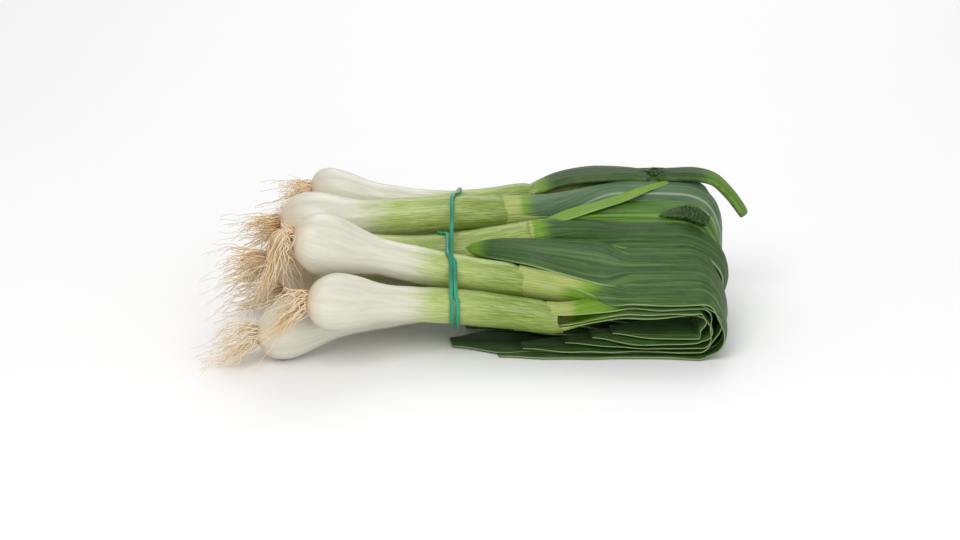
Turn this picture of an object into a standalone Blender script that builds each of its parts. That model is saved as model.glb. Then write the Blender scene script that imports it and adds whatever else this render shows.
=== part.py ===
"""A tied bunch of eight spring onions, lying down with its leaves folded under.

Run with: blender --background --python part.py, or from Blender's text editor.

The bunch lies along X: roots and bulbs at -X, the leaf fold at +X, the front at
-Y. +Z is up. Sizes below are in millimetres, turned to metres as meshes are made.

Each onion is a bulb with its shank, a root tuft and its leaves. The shanks run
through an elastic band wound twice. Past their collars the leaves lie flat on
each other in layers, turn down round the fold and run back under the bunch.
"""

import math
from collections import namedtuple
from itertools import pairwise

import bpy
from mathutils import Vector

MM = 0.001
GAP = 0.4  # between pieces that touch

# Leaf stack: the cross-section of all the leaves together, where they fold.
LEAF_THICKNESS = 3.5
LAYER_PITCH = LEAF_THICKNESS + 0.9
OUTER_FOLD_RADIUS = 28.0  # of the middle of the outermost layer
STACK_HEIGHT = 2 * OUTER_FOLD_RADIUS + LEAF_THICKNESS
STACK_FRONT_Y = -55.0
STACK_BACK_Y = 52.0
FRONT_TOP_Z = 31.0  # the top of the stack curves up from front to back
BACK_TOP_Z = 65.5
FRONT_FOLD_X = 125.0  # where the leaves start to turn down
BACK_FOLD_X = 106.0
SPREAD_X = 90.0  # the leaves have spread into their layers by here

# One onion's outline.
BULB_TO_NECK = 2.0  # bulb radii from the widest point to the start of the neck
BASE_LENGTH = 0.97  # bulb radii from the widest point to the base
ROOT_PLATE_SHARE = 0.34  # of the bulb radius
COLLAR_SHARE = 0.92  # shank radius at the collar, as a share of the neck radius
ROUND_SIDES = 12

ROOT_THICKNESS = 5.4  # radius of a root tuft at its base

BAND_WIDTH = 2.6
BAND_THICKNESS = 1.2
BAND_CLEARANCE = BAND_THICKNESS / 2 + 2 * GAP
BAND_STEPS = 44  # in each of its two turns

Onion = namedtuple("Onion", "bulb bulb_radius neck neck_radius collar root_tip")
# bulb, collar and root_tip are (x, y, z); neck is (y, z) in the band's plane,
# x = 0. root_tip is where the tuft ends.
ONIONS = (
    Onion((-67, -37, 57), 16.3, (-26, 38.0), 9.6, (38, -31, 34), (-97, -43, 36)),
    Onion((-60, -62.5, 35.5), 14.8, (-42, 25.0), 9.2, (52, -48, 21), (-91, -70, 26)),
    Onion((-79, 25, 47), 17.0, (15, 55.5), 10.2, (30, 18.5, 55), (-113, 23, 40)),
    Onion((-66, 53, 54.5), 14.0, (37, 52.0), 9.0, (44, 41, 57), (-97, 59, 48)),
    Onion((-84, -10, 39), 16.0, (-6, 38.5), 9.2, (45, -1, 48.5), (-120, -15, 32)),
    Onion((-86, -49, 15.6), 15.6, (-20, 19.5), 9.0, (54, -18, 19), (-120, -62, 8)),
    Onion((-78, 13, 16), 15.8, (3, 22.0), 9.0, (52, 4, 27), (-114, 12, 8)),
    Onion((-64, 46, 16), 15.4, (24, 27.0), 9.0, (52, 27, 36), (-98, 52, 8)),
)
OUTSIDE_SECOND_TURN = (2, 3)  # onions that the band's second turn passes under

# across and lift place a leaf's base on its collar, in collar radii. layer counts
# from the outside of the stack; y and width are the leaf's place in its layer.
Leaf = namedtuple("Leaf", "onion across lift base_width layer y width tail_x")
LEAVES = (
    Leaf(0, -0.10, 0.42, 14, 0, -47, 12, 22),
    Leaf(0, 0.00, -0.42, 14, 1, -42, 20, 34),
    Leaf(1, 0.00, 0.50, 12, 2, -42, 20, 56),
    Leaf(1, 0.00, -0.05, 15, 3, -42, 20, 70),
    Leaf(1, 0.00, -0.60, 11, 4, -41, 20, 80),
    Leaf(2, 0.55, 0.40, 9, 0, 26.5, 10, 2),
    Leaf(2, -0.55, 0.40, 9, 0, 15.5, 11, 12),
    Leaf(2, 0.00, -0.30, 15, 1, 20, 18, -4),
    Leaf(3, 0.00, 0.10, 15, 0, 41.5, 19, 8),
    Leaf(3, 0.00, -0.42, 14, 1, 40, 20, 26),
    Leaf(3, 0.00, -0.93, 9, 2, 42, 17, 46),
    Leaf(4, 0.40, 0.20, 9, 0, 2.5, 14, 16),
    Leaf(4, -0.50, -0.20, 9, 0, -10.5, 11, 6),
    Leaf(5, 0.00, 0.72, 10, 1, -21, 20, 30),
    Leaf(5, 0.00, 0.24, 14, 2, -21, 20, 58),
    Leaf(5, 0.00, -0.24, 14, 3, -21, 20, 68),
    Leaf(5, 0.00, -0.72, 10, 4, -20, 20, 84),
    Leaf(6, 0.00, 0.72, 10, 1, 0, 20, 24),
    Leaf(6, 0.00, 0.24, 14, 2, 1, 22, 40),
    Leaf(6, 0.00, -0.24, 14, 3, 4, 26, 64),
    Leaf(6, 0.00, -0.72, 10, 4, 4, 26, 80),
    Leaf(7, 0.00, 0.56, 12, 2, 23, 19, 38),
    Leaf(7, 0.00, 0.00, 15, 3, 32, 27, 60),
    Leaf(7, 0.00, -0.56, 12, 4, 32, 27, 72),
)
LEAF_BASE_THICKNESS = 4.2
LEAF_SIDES = 6
RUN_STEPS = 7
FOLD_STEPS = 8
RETURN_STEPS = 3
TIP_LENGTH = 24.0
TIP_SHARE = 0.4

# The broad leaf that leaves the fifth onion's shank early, below its collar.
BROAD_LEAF = Leaf(4, 0, 0, 12, 0, -28.5, 24, -2)
BROAD_LEAF_START_X = 12.0
BROAD_LEAF_TILT = math.radians(45)

# Two leaves that lie on the stack, along their own paths: (x, y, height above the
# top of the stack at y, width, thickness). The strip belongs to the fifth onion,
# the drooping leaf to the fourth.
STRIP = (
    (45.6, 0.5, -0.8, 6, 2.6),
    (54, 2.2, 0.9, 8, 2.4),
    (63, 4.5, 2.4, 10, 2.4),
    (74, 9.0, 3.0, 10, 2.2),
    (88, 16.0, 3.2, 9, 2.0),
    (101, 25.0, 3.4, 7, 2.0),
    (112, 31.5, 3.6, 4, 1.6),
)
DROOPING_LEAF = (
    (44.8, 41, -3.6, 11, 4.2),
    (58, 42, 0.8, 17, 4.0),
    (74, 41.5, 3.2, 19, 4.0),
    (92, 41, 3.4, 15, 4.0),
    (105, 40, 3.4, 8, 5.2),
    (116, 39.6, 4.0, 13, 4.8),
    (129, 39, 4.4, 14, 4.8),
    (139, 38.6, 2.4, 12.5, 4.8),
    (147, 38.2, -5.0, 11, 4.8),
    (152.5, 37.8, -12.0, 10, 4.6),
    (155.5, 37.4, -16.5, 9, 4.0),
)


def stack_top(y):
    share = min((y - STACK_FRONT_Y) / (STACK_BACK_Y - STACK_FRONT_Y), 1)
    return FRONT_TOP_Z + (BACK_TOP_Z - FRONT_TOP_Z) * math.sin(math.pi / 2 * share)


def stack_scale(y):
    """How tall the leaf stack is at y, against a fold with the outer fold's radius."""
    return stack_top(y) / STACK_HEIGHT


def fold_x(y):
    share = (y - STACK_FRONT_Y) / (STACK_BACK_Y - STACK_FRONT_Y)
    return FRONT_FOLD_X + (BACK_FOLD_X - FRONT_FOLD_X) * share


def smooth(t):
    t = min(max(t, 0.0), 1.0)
    return t * t * (3 - 2 * t)


def hermite(p, q, slope_p, slope_q, t):
    """A cubic from p to q over one unit of t, with these end slopes."""
    a = 2 * t**3 - 3 * t**2 + 1
    b = t**3 - 2 * t**2 + t
    c = -2 * t**3 + 3 * t**2
    d = t**3 - t**2
    return a * p + b * slope_p + c * q + d * slope_q


def slopes(onion):
    """Change per x of the axis: from bulb to neck, and from neck to collar."""
    bulb, collar = Vector(onion.bulb), Vector(onion.collar)
    neck = Vector((0, *onion.neck))
    return (neck - bulb) / (neck.x - bulb.x), (collar - neck) / collar.x


def axis_point(onion, x):
    """The point at x on the middle of a bulb and shank."""
    bulb, collar = Vector(onion.bulb), Vector(onion.collar)
    neck = Vector((0, *onion.neck))
    to_bulb, to_collar = slopes(onion)
    through = (to_bulb + to_collar) / 2
    if x <= bulb.x:
        return bulb + to_bulb * (x - bulb.x)
    if x <= 0:
        span = -bulb.x
        return hermite(bulb, neck, to_bulb * span, through * span, (x - bulb.x) / span)
    return hermite(neck, collar, through * collar.x, to_collar * collar.x, x / collar.x)


def bulb_radius(onion, x):
    """The radius at x: a half ellipse at the base, a soft shoulder, then the neck."""
    widest = onion.bulb[0]
    if x < widest:
        share = (widest - x) / (BASE_LENGTH * onion.bulb_radius)
        return onion.bulb_radius * math.sqrt(max(1 - share**2, ROOT_PLATE_SHARE**2))
    shoulder = smooth((x - widest) / (BULB_TO_NECK * onion.bulb_radius))
    radius = onion.bulb_radius + (onion.neck_radius - onion.bulb_radius) * shoulder
    return radius * (1 - (1 - COLLAR_SHARE) * smooth(x / onion.collar[0]))


def base_x(onion):
    return onion.bulb[0] - onion.bulb_radius * BASE_LENGTH * math.sqrt(1 - ROOT_PLATE_SHARE**2)


def material(name, colour, roughness):
    made = bpy.data.materials.new(name)
    made.use_nodes = True
    shader = made.node_tree.nodes["Principled BSDF"]
    shader.inputs["Base Color"].default_value = (*colour, 1)
    shader.inputs["Roughness"].default_value = roughness
    made.diffuse_color = (*colour, 1)
    return made


def place(obj, finish):
    obj.data.materials.append(finish)
    obj.parent = bunch_origin
    bunch.objects.link(obj)
    return obj


def tapered_tube(name, points, radii, finish):
    """A round body along points, with its own radius at each point."""
    curve = bpy.data.curves.new(name, "CURVE")
    curve.dimensions = "3D"
    curve.bevel_depth = MM
    curve.bevel_resolution = ROUND_SIDES // 2 - 2
    curve.use_fill_caps = True
    spline = curve.splines.new("POLY")
    spline.points.add(len(points) - 1)
    for knot, point, radius in zip(spline.points, points, radii):
        knot.co = (*(Vector(point) * MM), 1)
        knot.radius = radius
    return place(bpy.data.objects.new(name, curve), finish)


def loft(name, rings, finish, closed=False):
    """A mesh through rings of points, with flat ends or joined end to end."""
    sides = len(rings[0])
    points = [Vector(p) * MM for ring in rings for p in ring]
    faces = []
    if not closed:
        faces.append(tuple(range(sides))[::-1])
        faces.append(tuple(range(len(points) - sides, len(points))))
    for r in range(len(rings) if closed else len(rings) - 1):
        near, far = r * sides, (r + 1) % len(rings) * sides
        for s in range(sides):
            after = (s + 1) % sides
            faces.append((near + s, near + after, far + after, far + s))
    mesh = bpy.data.meshes.new(name)
    mesh.from_pydata(points, [], faces)
    mesh.validate()
    return place(bpy.data.objects.new(name, mesh), finish)


def make_bulb(onion, name):
    start, end = base_x(onion), onion.collar[0]
    widest, shoulder = onion.bulb[0], onion.bulb[0] + BULB_TO_NECK * onion.bulb_radius
    xs = [start + (widest - start) * (1 - math.cos(math.pi / 2 * i / 5)) for i in range(5)]
    xs += [widest + (shoulder - widest) * i / 7 for i in range(7)]
    xs += [shoulder + (end - shoulder) * i / 6 for i in range(7)]
    points = [axis_point(onion, x) for x in xs]
    tapered_tube(name, points, [bulb_radius(onion, x) for x in xs], SHANK)


def make_roots(onion, name):
    """A plain tuft that holds the space of the fine roots."""
    base, tip = axis_point(onion, base_x(onion)), Vector(onion.root_tip)
    away = (base - Vector(onion.bulb)).normalized()
    first = base + away * 2 * GAP
    reach = away * (tip - first).length * 1.6
    outline = ((0, 0.9), (0.08, 1), (0.2, 1.15), (0.45, 1.2), (0.75, 1.05), (0.92, 0.7), (1, 0.3))
    points = [hermite(first, tip, reach, tip - first, share) for share, _ in outline]
    tapered_tube(name, points, [ROOT_THICKNESS * share for _, share in outline], ROOTS)


def leaf_section(width, thickness):
    """Points round a flat leaf section, as (across, up)."""
    turns = [2 * math.pi * i / LEAF_SIDES for i in range(LEAF_SIDES)]
    return [(width / 2 * math.cos(t), thickness / 2 * math.sin(t)) for t in turns]


def stack_point(leaf, across, up, angle, run):
    """A point of a leaf in the stack. angle is its turn round the fold, run its
    share of the way back to its tail."""
    y = leaf.y + across
    radius = (OUTER_FOLD_RADIUS - LAYER_PITCH * leaf.layer + up) * stack_scale(y)
    x = fold_x(y) + radius * math.sin(angle) + (leaf.tail_x - fold_x(leaf.y)) * run
    return Vector((x, y, STACK_HEIGHT / 2 * stack_scale(y) + radius * math.cos(angle)))


def make_folded_leaf(leaf, name, centre, side, up_way):
    """A leaf from its base at centre, into the stack, round the fold and back."""
    turn_length = math.pi * (OUTER_FOLD_RADIUS - LAYER_PITCH * leaf.layer)
    tail_length = fold_x(leaf.y) - leaf.tail_x
    rings = []
    for i in range(RUN_STEPS):
        share = i / RUN_STEPS
        x = centre.x + (fold_x(leaf.y) - centre.x) * share
        spread = smooth((x - centre.x) / (SPREAD_X - centre.x))
        width = leaf.base_width + (leaf.width - leaf.base_width) * spread
        thickness = LEAF_BASE_THICKNESS + (LEAF_THICKNESS - LEAF_BASE_THICKNESS) * spread
        ring = []
        for across, up in leaf_section(width, thickness):
            near = centre + side * across + up_way * up
            far = stack_point(leaf, across, up, 0, 0)
            point = near.lerp(far, spread)
            point.x = near.x + (far.x - near.x) * share
            ring.append(point)
        rings.append(ring)
    stations = [(math.pi * i / FOLD_STEPS, 0) for i in range(FOLD_STEPS + 1)]
    stations += [(math.pi, (i + 1) / RETURN_STEPS) for i in range(RETURN_STEPS)]
    for angle, run in stations:
        from_tip = turn_length * (1 - angle / math.pi) + tail_length * (1 - run)
        width = leaf.width * (TIP_SHARE + (1 - TIP_SHARE) * smooth(from_tip / TIP_LENGTH))
        shape = leaf_section(width, LEAF_THICKNESS)
        rings.append([stack_point(leaf, a, u, angle, run) for a, u in shape])
    loft(name, rings, LEAF)


def make_leaf(leaf, name):
    onion = ONIONS[leaf.onion]
    away = slopes(onion)[1].normalized()
    side = Vector((0, 0, 1)).cross(away).normalized()
    up_way = away.cross(side)
    radius = onion.neck_radius * COLLAR_SHARE
    centre = Vector(onion.collar) + away * GAP
    centre += (side * leaf.across + up_way * leaf.lift) * radius
    make_folded_leaf(leaf, name, centre, side, up_way)


def make_broad_leaf(leaf, name):
    onion = ONIONS[leaf.onion]
    side = Vector((0, math.cos(BROAD_LEAF_TILT), math.sin(BROAD_LEAF_TILT)))
    up_way = Vector((1, 0, 0)).cross(side)
    clear = bulb_radius(onion, BROAD_LEAF_START_X) + 2 * GAP + LEAF_BASE_THICKNESS / 2
    centre = axis_point(onion, BROAD_LEAF_START_X) + up_way * clear
    make_folded_leaf(leaf, name, centre, side, up_way)


def make_free_leaf(path, name):
    centres = [Vector((x, y, stack_top(y) + lift)) for x, y, lift, _, _ in path]
    rings = []
    for i, (centre, (*_, width, thickness)) in enumerate(zip(centres, path)):
        along = (centres[min(i + 1, len(path) - 1)] - centres[max(i - 1, 0)]).normalized()
        side = Vector((0, 0, 1)).cross(along).normalized()
        up_way = along.cross(side)
        shape = leaf_section(width, thickness)
        rings.append([centre + side * a + up_way * u for a, u in shape])
    loft(name, rings, LEAF)


def band_offset(turns):
    """How far the band lies to +X of the neck plane, after this many turns."""
    side = (BAND_WIDTH + GAP) / 2
    path = (
        (0, side), (0.5, side), (0.72, -9), (0.77, -4), (0.9, -side),
        (1.5, -side), (1.7, 2), (1.75, -1), (1.81, -2), (1.9, side), (2, side),
    )
    for (t, x), (t_next, x_next) in pairwise(path):
        if turns <= t_next:
            return x + (x_next - x) * smooth((turns - t) / (t_next - t))
    return side


def make_band(name):
    """Twice round the necks, from the front: the first turn passes under the
    outside pair of onions, the second over them."""
    inner = [onion for i, onion in enumerate(ONIONS) if i not in OUTSIDE_SECOND_TURN]
    path = []
    for i in range(2 * BAND_STEPS):
        turns = i / BAND_STEPS
        turn = math.pi * (1 + 2 * turns)
        out, x = Vector((0, math.cos(turn), math.sin(turn))), band_offset(turns)
        reaches = []
        for onion in inner if turns < 1 else ONIONS:
            outside = axis_point(onion, x) + out * (bulb_radius(onion, x) + BAND_CLEARANCE)
            reaches.append((outside.dot(out), tuple(outside)))
        path.append((Vector(max(reaches)[1]), out))
    rings = []
    for i, (centre, out) in enumerate(path):
        along = (path[(i + 1) % len(path)][0] - path[i - 1][0]).normalized()
        side = out.cross(along).normalized() * BAND_WIDTH / 2
        up = along.cross(side).normalized() * BAND_THICKNESS / 2
        rings.append([centre + side + up, centre - side + up, centre - side - up, centre + side - up])
    loft(name, rings, BAND, closed=True)


def rest_on_floor():
    """Put the origin under the middle of the bunch, at the floor."""
    bpy.context.view_layer.update()
    graph = bpy.context.evaluated_depsgraph_get()
    corners = []
    for obj in bunch.objects:
        if obj.type != "EMPTY":
            mesh = obj.evaluated_get(graph).to_mesh()
            corners += [v.co.copy() for v in mesh.vertices]
    low = Vector(min(c[i] for c in corners) for i in range(3))
    high = Vector(max(c[i] for c in corners) for i in range(3))
    bunch_origin.location = (-(low.x + high.x) / 2, -(low.y + high.y) / 2, -low.z)


for obj in list(bpy.data.objects):
    bpy.data.objects.remove(obj)
bunch = bpy.data.collections.new("spring_onion_bunch")
bpy.context.scene.collection.children.link(bunch)
bunch_origin = bpy.data.objects.new("bunch_origin", None)
bunch.objects.link(bunch_origin)
SHANK = material("shank", (0.78, 0.82, 0.62), 0.4)
ROOTS = material("roots", (0.62, 0.45, 0.26), 0.8)
LEAF = material("leaf", (0.09, 0.22, 0.06), 0.45)
BAND = material("band", (0.0, 0.28, 0.18), 0.4)

for number, onion in enumerate(ONIONS, 1):
    make_bulb(onion, f"onion_{number}_bulb")
    make_roots(onion, f"onion_{number}_roots")
leaves_made = [0] * len(ONIONS)
for leaf in LEAVES:
    leaves_made[leaf.onion] += 1
    make_leaf(leaf, f"onion_{leaf.onion + 1}_leaf_{leaves_made[leaf.onion]}")
make_broad_leaf(BROAD_LEAF, "onion_5_leaf_3")
make_free_leaf(STRIP, "onion_5_leaf_4")
make_free_leaf(DROOPING_LEAF, "onion_4_leaf_4")
make_band("elastic_band")
rest_on_floor()
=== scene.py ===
"""The looks of a tied bunch of eight spring onions, lying with its leaves folded under.

Lengths in the tables are millimetres in the bunch's own layout, with x = 0 at the
elastic band and z = 0 on the floor. LAYOUT_TO_FRAME moves them to the frame.
"""

import math
import random
from collections import namedtuple
from itertools import pairwise

import bmesh
import bpy
import numpy as np
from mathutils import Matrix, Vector


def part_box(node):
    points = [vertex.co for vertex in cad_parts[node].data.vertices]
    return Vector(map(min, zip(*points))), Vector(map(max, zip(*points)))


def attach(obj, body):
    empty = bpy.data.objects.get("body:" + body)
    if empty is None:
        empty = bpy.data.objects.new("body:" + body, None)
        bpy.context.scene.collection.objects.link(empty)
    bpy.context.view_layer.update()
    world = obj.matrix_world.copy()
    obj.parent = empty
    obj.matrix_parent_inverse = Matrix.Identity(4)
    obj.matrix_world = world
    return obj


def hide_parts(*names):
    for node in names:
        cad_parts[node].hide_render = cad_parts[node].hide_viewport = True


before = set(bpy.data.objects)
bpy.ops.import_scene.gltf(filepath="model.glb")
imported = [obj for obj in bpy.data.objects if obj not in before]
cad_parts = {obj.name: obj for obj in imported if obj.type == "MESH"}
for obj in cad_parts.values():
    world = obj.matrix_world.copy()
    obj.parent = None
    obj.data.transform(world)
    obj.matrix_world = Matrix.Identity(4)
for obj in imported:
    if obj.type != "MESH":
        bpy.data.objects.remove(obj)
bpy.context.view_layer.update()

MM = 0.001

# ---------------------------------------------------------------- the bunch's layout

LEAF_THICKNESS = 3.5
LAYER_PITCH = LEAF_THICKNESS + 0.9  # a leaf and the air over it
OUTER_FOLD_RADIUS = 28.0
STACK_HEIGHT = 2 * OUTER_FOLD_RADIUS + LEAF_THICKNESS
STACK_FRONT_Y = -55.0  # the folded stack of leaves, front to back
STACK_BACK_Y = 52.0
FRONT_TOP_Z = 31.0
BACK_TOP_Z = 65.5
FRONT_FOLD_X = 125.0
BACK_FOLD_X = 106.0
SPREAD_X = 90.0  # where the leaves have opened to their full width
BULB_TO_NECK = {5: 4.2}  # in bulb radii; the others take SHORT_NECK
SHORT_NECK = 2.0
BASE_LENGTH = 0.97  # from the bulb's widest to its base, in bulb radii
ROOT_PLATE_SHARE = 0.34
COLLAR_SHARE = 0.92
TIP_LENGTH = 24.0
TIP_SHARE = 0.4

# bulb, collar and root_tip are points; neck is (y, z) at the band. greens is where the
# white turns green: 0 at the bulb's widest, 1 at the band.
Onion = namedtuple("Onion", "bulb bulb_radius neck neck_radius collar root_tip greens")
ONIONS = (
    Onion((-67, -37, 57), 16.3, (-26, 38.0), 9.6, (38, -31, 34), (-97, -43, 36), 0.62),
    Onion((-60, -62.5, 35.5), 14.8, (-42, 25.0), 9.2, (52, -48, 21), (-91, -70, 26), 0.58),
    Onion((-79, 25, 47), 17.0, (15, 55.5), 10.2, (30, 18.5, 55), (-113, 23, 40), 0.30),
    Onion((-66, 53, 54.5), 14.0, (37, 52.0), 9.0, (44, 41, 57), (-97, 59, 48), 0.74),
    Onion((-84, -10, 39), 16.0, (-5, 41.4), 10.3, (45, -1, 48.5), (-120, -15, 32), 0.08),
    Onion((-86, -49, 15.6), 15.6, (-20, 19.5), 9.0, (54, -18, 19), (-120, -62, 8), 0.70),
    Onion((-78, 13, 16), 15.8, (3, 22.0), 9.0, (52, 4, 27), (-114, 12, 8), 0.55),
    Onion((-64, 46, 16), 15.4, (24, 27.0), 9.0, (52, 27, 36), (-98, 52, 8), 0.65),
)

# across and lift place the base in its collar, in neck radii. layer counts inwards in the
# stack, y is the middle of the leaf there, and tail_x is where it ends under the stack.
Leaf = namedtuple("Leaf", "onion across lift base_width layer y width tail_x")
LEAVES = (
    Leaf(0, -0.10, 0.42, 14, 0, -47, 12, 22),
    Leaf(0, 0.00, -0.42, 14, 1, -42, 20, 34),
    Leaf(1, 0.00, 0.50, 12, 2, -42, 20, 56),
    Leaf(1, 0.00, -0.05, 15, 3, -42, 20, 70),
    Leaf(1, 0.00, -0.60, 11, 4, -41, 20, 80),
    Leaf(2, 0.55, 0.40, 9, 0, 26.5, 10, 2),
    Leaf(2, -0.55, 0.40, 9, 0, 15.5, 11, 12),
    Leaf(2, 0.00, -0.30, 15, 1, 20, 18, -4),
    Leaf(3, 0.00, 0.10, 15, 0, 41.5, 19, 8),
    Leaf(3, 0.00, -0.42, 14, 1, 40, 20, 26),
    Leaf(3, 0.00, -0.93, 9, 2, 42, 17, 46),
    Leaf(4, 0.40, 0.20, 9, 0, 2.5, 14, 16),
    Leaf(4, -0.50, -0.20, 9, 0, -10.5, 11, 6),
    Leaf(5, 0.00, 0.72, 10, 1, -21, 20, 30),
    Leaf(5, 0.00, 0.24, 14, 2, -21, 20, 58),
    Leaf(5, 0.00, -0.24, 14, 3, -21, 20, 68),
    Leaf(5, 0.00, -0.72, 10, 4, -20, 20, 84),
    Leaf(6, 0.00, 0.72, 10, 1, 0, 20, 24),
    Leaf(6, 0.00, 0.24, 14, 2, 1, 22, 40),
    Leaf(6, 0.00, -0.24, 14, 3, 4, 26, 64),
    Leaf(6, 0.00, -0.72, 10, 4, 4, 26, 80),
    Leaf(7, 0.00, 0.56, 12, 2, 23, 19, 38),
    Leaf(7, 0.00, 0.00, 15, 3, 32, 27, 60),
    Leaf(7, 0.00, -0.56, 12, 4, 32, 27, 72),
)
BROAD_LEAF = Leaf(4, 0, 0, 12, 0, -31.5, 32, -2)

# Leaves that lie free on the stack: (x, y, height over the stack, width, thickness).
STRIP = (
    (41, -0.5, -2.5, 7, 2.6),
    (52, 1.6, 0.6, 11, 2.6),
    (62, 4.5, 2.4, 12, 2.4),
    (74, 9.0, 3.2, 10, 2.2),
    (88, 16.0, 3.4, 9, 2.0),
    (101, 25.0, 3.6, 7, 2.0),
    (113, 32.0, 3.8, 4, 1.6),
)
DROOPING_LEAF = (
    (33, 42.5, -8.5, 9, 4.0),
    (45, 41.8, -3.2, 16, 4.2),
    (58, 42, 1.6, 18, 4.2),
    (74, 41.5, 4.2, 19, 4.2),
    (92, 41, 4.4, 15, 4.4),
    (105, 40, 3.2, 10, 6.4),
    (116, 39.6, 4.6, 13, 5.0),
    (129, 39, 5.0, 14, 5.0),
    (139, 38.6, 2.4, 12.5, 5.0),
    (147, 38.2, -5.0, 11, 4.8),
    (152.5, 37.8, -12.0, 10, 4.6),
    (155.5, 37.4, -16.5, 9, 4.0),
)
CRUMPLED_END = (
    (101, 11, -4.0, 6, 2.4),
    (109, 8.5, -0.6, 11, 2.8),
    (117, 6, 2.0, 14, 3.2),
    (125, 4, 2.0, 15, 3.6),
    (133, 2.5, -1.2, 12, 3.4),
)


def layout_to_frame():
    """The way from the layout to the frame, from one leaf's box in both."""
    back_leaf = next(leaf for leaf in LEAVES if leaf.onion == 3)
    low, high = (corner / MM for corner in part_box("onion_4_leaf_1"))
    slant = (FRONT_FOLD_X - BACK_FOLD_X) / (STACK_BACK_Y - STACK_FRONT_Y)
    tail_end = back_leaf.tail_x - slant * back_leaf.width * TIP_SHARE / 2
    return np.array((low.x - tail_end, (low.y + high.y) / 2 - back_leaf.y, 0))


LAYOUT_TO_FRAME = layout_to_frame()


def smooth(t):
    """An eased step from 0 to 1."""
    t = np.clip(t, 0.0, 1.0)
    return t * t * (3 - 2 * t)


def stack_top(y):
    share = np.minimum((y - STACK_FRONT_Y) / (STACK_BACK_Y - STACK_FRONT_Y), 1)
    return FRONT_TOP_Z + (BACK_TOP_Z - FRONT_TOP_Z) * np.sin(math.pi / 2 * share)


def stack_scale(y):
    """The stack gets lower to the front."""
    return stack_top(y) / STACK_HEIGHT


def fold_x(y):
    share = (y - STACK_FRONT_Y) / (STACK_BACK_Y - STACK_FRONT_Y)
    return FRONT_FOLD_X + (BACK_FOLD_X - FRONT_FOLD_X) * share


def hermite(p, q, slope_p, slope_q, t):
    """The point at t, 0 to 1, of a curve from p to q with these end slopes."""
    a = 2 * t**3 - 3 * t**2 + 1
    b = t**3 - 2 * t**2 + t
    c = -2 * t**3 + 3 * t**2
    d = t**3 - t**2
    return a * p + b * slope_p + c * q + d * slope_q


def slopes(onion):
    """How an onion's axis runs for each step of x: at its bulb and at its collar."""
    bulb, collar = np.array(onion.bulb, float), np.array(onion.collar, float)
    neck = np.array((0, *onion.neck), float)
    return (neck - bulb) / (neck[0] - bulb[0]), (collar - neck) / collar[0]


def axis_point(onion, x):
    """The point at x on the middle line of a bulb and its shank."""
    bulb, collar = np.array(onion.bulb, float), np.array(onion.collar, float)
    neck = np.array((0, *onion.neck), float)
    to_bulb, to_collar = slopes(onion)
    through = (to_bulb + to_collar) / 2
    if x <= bulb[0]:
        return bulb + to_bulb * (x - bulb[0])
    if x <= 0:
        span = -bulb[0]
        return hermite(bulb, neck, to_bulb * span, through * span, (x - bulb[0]) / span)
    return hermite(neck, collar, through * collar[0], to_collar * collar[0], x / collar[0])


def bulb_radius(onion, x):
    """Radius at x, from the root plate past the bulb to the collar."""
    widest = onion.bulb[0]
    if x < widest:
        share = (widest - x) / (BASE_LENGTH * onion.bulb_radius)
        return onion.bulb_radius * math.sqrt(max(1 - share**2, ROOT_PLATE_SHARE**2))
    to_neck = BULB_TO_NECK.get(ONIONS.index(onion) + 1, SHORT_NECK)
    shoulder = smooth((x - widest) / (to_neck * onion.bulb_radius))
    radius = onion.bulb_radius + (onion.neck_radius - onion.bulb_radius) * shoulder
    return radius * (1 - (1 - COLLAR_SHARE) * smooth(x / onion.collar[0]))


def base_x(onion):
    return onion.bulb[0] - onion.bulb_radius * BASE_LENGTH * math.sqrt(1 - ROOT_PLATE_SHARE**2)


def unit(v):
    return v / np.linalg.norm(v)


# ------------------------------------------------------------------- mesh building


def wave(at, seed, turns):
    """A smooth wandering between about -1 and 1 along at."""
    heights, speeds = (1.0, 0.6, 0.4), (1.0, 2.3, 4.1)
    phases = random.Random(seed).choices(range(628), k=3)
    parts = zip(heights, speeds, phases)
    return sum(a * np.sin(2 * math.pi * turns * f * at + p / 100) for a, f, p in parts) / 1.5


def skin(name, rings, marks, finish, node):
    """A closed piece through rings of points, ends rounded to a middle point.

    rings is (rings, sides, 3) in layout millimetres. marks holds point attributes
    of the same shape, for the finish."""
    count, sides = rings.shape[:2]
    ends = np.array([rings[0].mean(0), rings[-1].mean(0)])
    points = (np.concatenate([rings.reshape(-1, 3), ends]) + LAYOUT_TO_FRAME) * MM
    faces = []
    for s in range(sides):
        after = (s + 1) % sides
        faces.append((count * sides, after, s))
        last = (count - 1) * sides
        faces.append((count * sides + 1, last + s, last + after))
        for r in range(count - 1):
            near, far = r * sides, (r + 1) * sides
            faces.append((near + s, near + after, far + after, far + s))
    mesh = bpy.data.meshes.new(name)
    mesh.from_pydata(points.tolist(), [], faces)
    for key, values in marks.items():
        around = values.reshape(-1, 3)
        tips = np.array([values[0].mean(0), values[-1].mean(0)])
        made = mesh.attributes.new(key, "FLOAT_VECTOR", "POINT")
        made.data.foreach_set("vector", np.concatenate([around, tips]).astype(np.float32).ravel())
    face_outward(mesh)
    add_piece(mesh, finish, node)


def face_outward(mesh):
    work = bmesh.new()
    work.from_mesh(mesh)
    bmesh.ops.recalc_face_normals(work, faces=work.faces)
    work.to_mesh(mesh)
    work.free()
    mesh.shade_smooth()


def add_piece(mesh, finish, node):
    """An object for a mesh, with its finish and its place in the frame."""
    piece = bpy.data.objects.new(mesh.name, mesh)
    bpy.context.scene.collection.objects.link(piece)
    piece.data.materials.clear()
    piece.data.materials.append(finish)
    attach(piece, "root")
    if node:
        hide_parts(node)


# ----------------------------------------------------------------------- finishes

MIX_FACTOR, MIX_A, MIX_B, MIX_RESULT = 0, 6, 7, 2  # a Mix node's sockets for colour


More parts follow.
